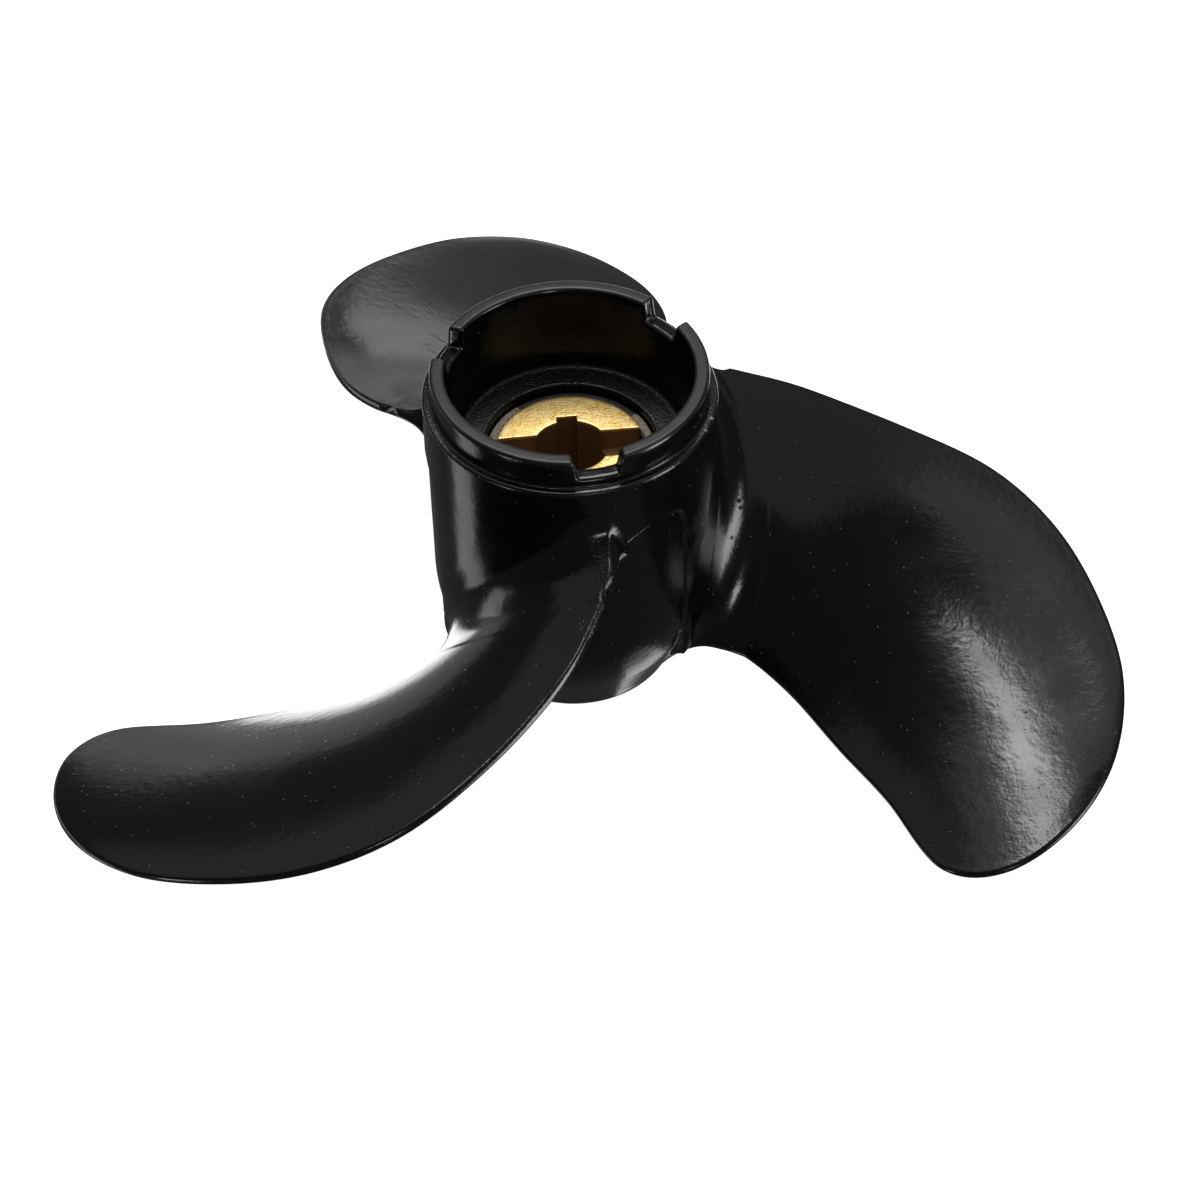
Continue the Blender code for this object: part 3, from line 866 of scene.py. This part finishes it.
def dots(tree, place, spacing, radius):
    """1 inside round dots of a radius in mm, scattered with a spacing in mm through the space."""
    cells = add_node(tree, "TexVoronoi", {"Vector": sized(tree, place, spacing), "Scale": 1.0})
    return between(tree, cells.outputs["Distance"], radius / spacing, radius / spacing / 3)


def near(tree, place, points, reach):
    """1 at points in mm from the middle of the rim, easing to 0 at a distance of reach in mm."""
    least = 1.0
    for x, y, z in points:
        spot = (x * MM, y * MM, (z + RIM_HEIGHT) * MM)
        gap = add_node(tree, "VectorMath", {0: place, 1: spot}, operation="DISTANCE")
        least = maths(tree, "MINIMUM", gap.outputs["Value"], least)
    return between(tree, least, reach * MM, 0.0)


def mixed(tree, share, first, second):
    """Colour between two colours, given as linear values or other nodes' outputs."""
    ends = [colour if isinstance(colour, bpy.types.NodeSocket) else (*colour, 1)
            for colour in (first, second)]
    mix = add_node(tree, "Mix", {0: share, 6: ends[0], 7: ends[1]}, data_type="RGBA")
    return mix.outputs[2]


def start_material(name):
    """New node material, its tree and the object's own coordinates in metres."""
    material = bpy.data.materials.new(name)
    material.use_nodes = True
    return material, material.node_tree, add_node(material.node_tree, "TexCoord").outputs["Object"]


def dress(tree, colour, roughness, height, metallic=0.0):
    """Give the shader its colour, roughness, metal share and a bump from heights in mm."""
    bump = add_node(tree, "Bump", {"Height": height, "Distance": MM, "Strength": 1.0})
    feed(tree, tree.nodes["Principled BSDF"], {
        "Base Color": colour, "Roughness": roughness, "Metallic": metallic,
        "Normal": bump.outputs["Normal"]})


def brass_material(name, colour):
    """Sintered brass, its face ground: a grainy gold face, and browner, duller walls below it;
    their darker brown is also painted shade in the slot and bore.

    Real sizes in mm: grains 0.3 and 0.9, pores 0.1 in radius.
    """
    material, tree, place = start_material(name)
    height = add_node(tree, "SeparateXYZ", {"Vector": place}).outputs["Z"]
    face = (RIM_HEIGHT - BRASS_DEPTH) * MM
    # below: the unground walls under the face; their colour also carries painted shade in the slot
    # and bore
    below = between(tree, height, face - 0.25 * MM, face - 0.6 * MM)
    speckle = between(tree, grain(tree, place, 0.3, 3.0), -0.45, 0.35)
    patch = between(tree, grain(tree, place, 1.6), -0.5, 0.5)
    pores = dots(tree, place, 0.9, 0.13)
    gold = mixed(tree, speckle, linear("C4964A"), colour)
    gold = mixed(tree, maths(tree, "MULTIPLY", patch, 0.5), gold, linear("FFEDB8"))
    gold = mixed(tree, maths(tree, "MULTIPLY", pores, 0.85), gold, linear("2E1E0C"))
    # painted shade: everything below the ground face turns a duller, less metallic brown, darkening
    # the slot's walls and floor and the bore
    gold = mixed(tree, maths(tree, "MULTIPLY", below, 0.93), gold, linear("94704F"))
    rough = add_up(tree, [(0.1, speckle), (0.1, below)], 0.34)
    relief = add_up(tree, [(0.022, grain(tree, place, 0.3, 3.0)), (-0.05, pores)])
    dress(tree, gold, rough, relief, maths(tree, "MULTIPLY_ADD", below, -0.7, 1.0))
    return material


def rubber_material(name, colour):
    """Moulded nitrile rubber, bonded in place: nearly black, with crusts of pale dry bonding agent.

    Real sizes in mm: skin grain 0.4, crust flakes 1.1 long, crust edge 0.3.
    """
    material, tree, place = start_material(name)
    scuffed = near(tree, place, SCUFFED, 3.4)
    ragged = add_up(tree, [(0.5, grain(tree, place, 1.1, 3.0)), (1.6, scuffed)])
    crust = between(tree, ragged, 0.45, 0.6)
    tone = between(tree, grain(tree, place, 0.5, 3.0), -0.5, 0.5)
    pale = mixed(tree, tone, linear("6E6255"), linear("B5AA9C"))
    relief = add_up(tree, [(0.01, grain(tree, place, 0.4)), (0.06, crust)])
    dress(tree, mixed(tree, crust, colour, pale), add_up(tree, [(0.15, crust)], 0.6), relief)
    return material


def paint_material(name, colour):
    """Gloss black stoving enamel, sprayed over a fettled aluminium die casting.

    Real sizes in mm: spray mottle 0.5, ripples of the casting 1.6, slow swell 7, dust nibs 0.12
    in radius, pinholes 0.2, grit 0.35 and fettling scratches 0.35 wide and 5 long. Chips show
    the bare aluminium. The cup's floor was left as cast and is grittier than the rest.
    """
    material, tree, place = start_material(name)
    height = add_node(tree, "SeparateXYZ", {"Vector": place}).outputs["Z"]
    flat = add_node(tree, "VectorMath", {0: place, 1: (1, 1, 0)}, operation="MULTIPLY")
    radius = add_node(tree, "VectorMath", {0: flat.outputs["Vector"]}, operation="LENGTH")
    radius = radius.outputs["Value"]

    def at_depth(depth, reach):
        """1 within a reach in mm of a depth in mm below the rim."""
        return maths(tree, "COMPARE", height, (RIM_HEIGHT - depth) * MM, reach * MM)

    in_cup = maths(tree, "LESS_THAN", radius, CUP_FLOOR_RADIUS * MM)
    floor = maths(tree, "MULTIPLY", at_depth(CUP_DEPTH, 0.6), in_cup)
    past_rim = maths(tree, "GREATER_THAN", radius, RIM_RADIUS * MM)
    ledge = maths(tree, "MULTIPLY", at_depth(RIM_DEPTH, 0.6), past_rim)
    rim = at_depth(0, 0.3)

    patch = between(tree, grain(tree, place, 9.0), -0.5, 0.6)
    grit = maths(tree, "MAXIMUM", floor, near(tree, place, GRITTY, 3.2))
    grit = maths(tree, "MAXIMUM", grit, maths(tree, "MULTIPLY", ledge, 0.2))
    fettled = maths(tree, "MAXIMUM", near(tree, place, FETTLED, 5.0), 0.14)
    scratches = maths(tree, "MULTIPLY", fettled,
                      grain(tree, place, (0.35, 5.0, 5.0), 3.0, (SCRATCH_ACROSS, SCRATCH_ALONG)))
    wrinkles = maths(tree, "MULTIPLY", near(tree, place, WRINKLED, 3.5),
                     grain(tree, place, (1.3, 4.0, 4.0), 1.0, (SCRATCH_ALONG, SCRATCH_ACROSS)))
    nibs = dots(tree, place, 2.0, 0.16)
    grains = maths(tree, "MULTIPLY", grit, dots(tree, place, 0.7, 0.26))
    sand = maths(tree, "MULTIPLY", grit, grain(tree, place, 0.5, 3.0))
    holes = maths(tree, "MAXIMUM", dots(tree, place, 3.4, 0.2), near(tree, place, PINHOLES, 0.45))
    chips = near(tree, place, CHIPS, 0.45)
    patchy = add_up(tree, [(0.75, patch)], 0.25)
    mottle = maths(tree, "MULTIPLY", grain(tree, place, 0.5, 1.5), patchy)

    relief = add_up(tree, [
        (0.009, mottle), (0.013, grain(tree, place, 1.6)), (0.02, grain(tree, place, 7.0)),
        (0.04, scratches), (0.12, wrinkles), (0.03, nibs), (0.07, grains), (0.05, sand),
        (-0.15, holes)])
    dusty = mixed(tree, maths(tree, "MULTIPLY", nibs, 0.35), colour, linear("8E8B84"))
    shown = mixed(tree, chips, dusty, linear("C3C5C6"))
    rough = add_up(tree, [
        (0.05, patch), (0.2, rim), (0.2, grit), (0.2, fettled), (0.15, chips)], 0.11)
    dress(tree, shown, rough, relief, chips)
    return material


def add_blades(material, edge, upper_fillet):
    """Three equal blades, each a closed loft of rings with its root capped in the hub."""
    grid = blade_points(edge, upper_fillet)
    rows, count = grid.shape[:2]
    faces = list(sheet_faces(rows, count)[:, ::-1])
    top = count // 2 + 1
    upper = np.arange(top)
    lower = (-upper) % count
    for base, flip in ((0, 1), ((rows - 1) * count, -1)):
        for a, b, c, d in zip(upper[:-1], upper[1:], lower[1:], lower[:-1]):
            ring = [a, b] + ([c] if c != b else []) + ([d] if d != a else [])
            faces.append([base + k for k in ring[::flip]])
    for number in range(3):
        turn = grid[..., 1] + math.radians(BLADE_AZIMUTH + number * ROTATION)
        points = in_space(grid[..., 0], turn, grid[..., 2])
        new_piece(f"blade_{number + 1}", points, faces, material,
                  "propeller_casting")


class PROPELLER_OT_hub(bpy.types.Operator):
    """Model the hub of the casting with its cup, rim notches, parting step and nose"""

    bl_idname = "propeller.hub"
    bl_label = "Hub"

    def execute(self, context):
        rows = hub_rows(context.scene.propeller_sizes.notch_depth / MM)
        paint = paint_material("gloss_black_enamel", context.scene.propeller_colours.paint)
        ring_piece("hub_casting", rows, paint, "propeller_casting")
        return {"FINISHED"}


class PROPELLER_OT_blades(bpy.types.Operator):
    """Model the three blades with their root fillets"""

    bl_idname = "propeller.blades"
    bl_label = "Blades"

    def execute(self, context):
        sizes = context.scene.propeller_sizes
        material = bpy.data.materials["gloss_black_enamel"]
        add_blades(material, sizes.edge_thickness / MM, sizes.upper_fillet / MM)
        return {"FINISHED"}


class PROPELLER_OT_bush(bpy.types.Operator):
    """Model the drive bush with its slot, bore and keyway, and the rubber round it"""

    bl_idname = "propeller.bush"
    bl_label = "Drive bush and rubber"

    def execute(self, context):
        colours = context.scene.propeller_colours
        rows = bush_rows(context.scene.propeller_sizes.slot_depth / MM)
        brass = brass_material("sintered_brass", colours.brass)
        ring_piece("turned_drive_bush", rows, brass, "drive_bush")
        rubber = rubber_material("moulded_rubber", colours.rubber)
        ring_piece("bonded_rubber", rubber_rows(), rubber, "rubber_sleeve")
        return {"FINISHED"}


def stage_camera(settings):
    """Camera at the photograph's view of the cup's rim, aimed by its distance and angles."""
    rim = Vector((0, 0, RIM_HEIGHT * MM))
    elevation = settings.elevation
    place = rim + settings.distance * Vector((0, -math.cos(elevation), math.sin(elevation)))
    target = rim + Vector(CAMERA_TARGET) * MM
    away = (place - target).normalized()
    right = Vector((0, 0, 1)).cross(away).normalized()
    up = away.cross(right)
    cos, sin = math.cos(settings.roll), math.sin(settings.roll)
    right, up = right * cos + up * sin, up * cos - right * sin
    camera = bpy.data.objects.new("camera", bpy.data.cameras.new("camera"))
    turn = Matrix((right, up, away)).transposed().to_4x4()
    camera.matrix_world = Matrix.Translation(place) @ turn
    camera.data.lens = settings.lens
    camera.data.sensor_width = 36
    bpy.context.scene.collection.objects.link(camera)
    bpy.context.scene.camera = camera


def soft_light(name, direction, size, power, lengthwise=(0, 0, 1)):
    """A rectangular area light that faces the part, its length along a given direction."""
    lamp = bpy.data.lights.new(name, "AREA")
    lamp.shape = "RECTANGLE"
    lamp.size, lamp.size_y = size
    lamp.energy = power
    azimuth, elevation = (math.radians(angle) for angle in direction)
    away = Vector((math.sin(azimuth) * math.cos(elevation), math.cos(azimuth) * math.cos(elevation),
                   math.sin(elevation)))
    side = Vector(lengthwise).cross(away).normalized()
    item = bpy.data.objects.new(name, lamp)
    turn = Matrix((side, away.cross(side), away)).transposed().to_4x4()
    item.matrix_world = Matrix.Translation(away * LAMP_DISTANCE) @ turn
    bpy.context.scene.collection.objects.link(item)


def studio_world(dim):
    """Dim grey room round the lamps."""
    world = bpy.data.worlds.new("studio")
    world.use_nodes = True
    world.node_tree.nodes["Background"].inputs["Color"].default_value = (1, 1, 1, 1)
    world.node_tree.nodes["Background"].inputs["Strength"].default_value = dim
    return world


def lay_floor(colour):
    """A pale floor lit until it washes out, under the part's lowest point.

    It is a backdrop for the camera alone: it throws no light or reflection on the part.
    """
    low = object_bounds()[0][2]
    mesh = bpy.data.meshes.new("floor")
    signs = ((-1, -1), (1, -1), (1, 1), (-1, 1))
    corners = [(x * FLOOR_REACH, y * FLOOR_REACH, low) for x, y in signs]
    mesh.from_pydata(corners, [], [range(4)])
    floor = bpy.data.objects.new("floor", mesh)
    bpy.context.scene.collection.objects.link(floor)
    floor.visible_diffuse = floor.visible_glossy = floor.visible_shadow = False
    material = bpy.data.materials.new("pale_backdrop")
    material.use_nodes = True
    shader = material.node_tree.nodes["Principled BSDF"]
    shader.inputs["Base Color"].default_value = (*colour, 1)
    shader.inputs["Roughness"].default_value = 0.9
    shader.inputs["Emission Color"].default_value = (*colour, 1)
    shader.inputs["Emission Strength"].default_value = 1.0
    mesh.materials.append(material)
    floor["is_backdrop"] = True


class PROPELLER_OT_stage(bpy.types.Operator):
    """Lay the pale floor, hang the soft lights and set the camera"""

    bl_idname = "propeller.stage"
    bl_label = "Stage"

    def execute(self, context):
        settings = context.scene.propeller_stage
        stage_camera(settings)
        lay_floor(settings.floor)
        for lamp in LAMPS:
            soft_light(*lamp)
        context.scene.world = studio_world(settings.room)
        context.scene.view_settings.view_transform = "Standard"
        return {"FINISHED"}


class PROPELLER_PT_panel(bpy.types.Panel):
    """Lists the pieces, their sizes and colours in the 3D view's sidebar"""

    bl_label = "Outboard propeller"
    bl_idname = "PROPELLER_PT_panel"
    bl_space_type = "VIEW_3D"
    bl_region_type = "UI"
    bl_category = "Propeller"

    def draw(self, context):
        layout = self.layout
        for name in ("hub", "blades", "bush", "stage"):
            layout.operator(f"propeller.{name}")
        for group in ("propeller_sizes", "propeller_colours", "propeller_stage"):
            settings = getattr(context.scene, group)
            for key in settings.__annotations__:
                layout.prop(settings, key)


GROUPS = {
    "propeller_sizes": PropellerSizes,
    "propeller_colours": PropellerColours,
    "propeller_stage": StageSettings,
}
CLASSES = (
    *GROUPS.values(), PROPELLER_OT_hub, PROPELLER_OT_blades, PROPELLER_OT_bush, PROPELLER_OT_stage,
    PROPELLER_PT_panel,
)


def register():
    """Register the classes and give the scene its settings."""
    for item in CLASSES:
        bpy.utils.register_class(item)
    for name, group in GROUPS.items():
        setattr(bpy.types.Scene, name, bpy.props.PointerProperty(type=group))


def unregister():
    """Take the settings and classes away again."""
    for name in GROUPS:
        delattr(bpy.types.Scene, name)
    for item in reversed(CLASSES):
        bpy.utils.unregister_class(item)


def main():
    """Make every piece and the stage."""
    register()
    bpy.ops.propeller.hub()
    bpy.ops.propeller.blades()
    bpy.ops.propeller.bush()
    bpy.ops.propeller.stage()


if __name__ == "__main__":
    main()
